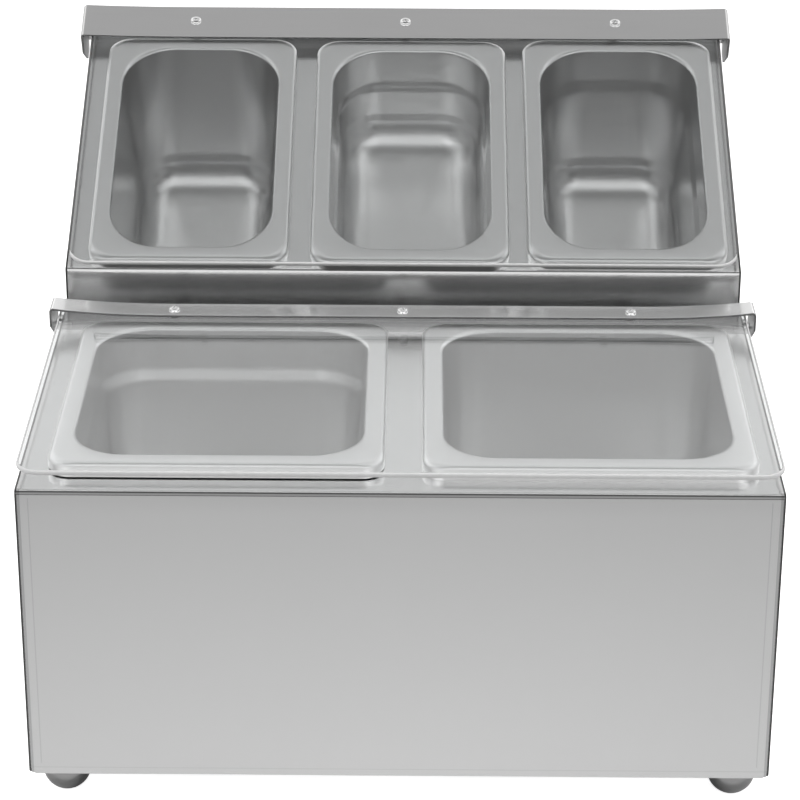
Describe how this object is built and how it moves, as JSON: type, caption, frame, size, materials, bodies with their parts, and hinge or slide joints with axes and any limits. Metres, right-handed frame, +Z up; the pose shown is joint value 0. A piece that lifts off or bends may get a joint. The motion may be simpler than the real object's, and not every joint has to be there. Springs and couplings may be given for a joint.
{
  "type": "condiment caddy",
  "caption": "Two-tier stainless condiment caddy: loose food pans in a level front deck and a sloping rear deck, each row under a clear flip lid hinged at its back edge.",
  "frame": {"origin": "on the table, under the centre of the overall outline", "axes": "+X to the user's right, +Y away from the user, +Z up"},
  "size_m": [0.3776, 0.4146, 0.2907],
  "materials": {
    "housing_steel": "brushed stainless sheet",
    "strip_steel": "finely brushed stainless strip",
    "pan_steel": "satin drawn stainless",
    "fastener_steel": "plain machined steel",
    "foot_metal": "dark polished turned metal",
    "clear_sheet": "clear glossy sheet"
  },
  "bodies": {
    "housing": {"lower_shell": "housing_steel", "upper_shell": "housing_steel", "back_panel": "housing_steel", "base_panel": "housing_steel", "left_side_panel": "housing_steel", "right_side_panel": "housing_steel", "foot_front_left": "foot_metal", "foot_front_right": "foot_metal", "foot_back_left": "foot_metal", "foot_back_right": "foot_metal", "foot_nut_front_left": "fastener_steel", "foot_nut_front_right": "fastener_steel", "foot_nut_back_left": "fastener_steel", "foot_nut_back_right": "fastener_steel", "lower_pan_left": "pan_steel", "lower_pan_right": "pan_steel", "upper_pan_left": "pan_steel", "upper_pan_middle": "pan_steel", "upper_pan_right": "pan_steel", "lower_pivot_left": "fastener_steel", "lower_pivot_right": "fastener_steel", "upper_pivot_left": "fastener_steel", "upper_pivot_right": "fastener_steel"},
    "front_lid": {"lower_lid": "clear_sheet", "lower_hinge_strip": "strip_steel", "lower_screw_left": "fastener_steel", "lower_screw_middle": "fastener_steel", "lower_screw_right": "fastener_steel", "lower_nut_left": "fastener_steel", "lower_nut_middle": "fastener_steel", "lower_nut_right": "fastener_steel"},
    "rear_lid": {"upper_lid": "clear_sheet", "upper_hinge_strip": "strip_steel", "upper_screw_left": "fastener_steel", "upper_screw_middle": "fastener_steel", "upper_screw_right": "fastener_steel", "upper_nut_left": "fastener_steel", "upper_nut_middle": "fastener_steel", "upper_nut_right": "fastener_steel"}
  },
  "joints": [
    {"name": "front_lid_hinge", "type": "hinge", "parent": "housing", "child": "front_lid", "pos_m": [0, 0.0012, 0.171], "axis": [-1, 0, 0], "range_deg": [0, 86]},
    {"name": "rear_lid_hinge", "type": "hinge", "parent": "housing", "child": "rear_lid", "pos_m": [0, 0.20162, 0.272], "axis": [-1, 0, 0], "range_deg": [0, 150]}
  ]
}
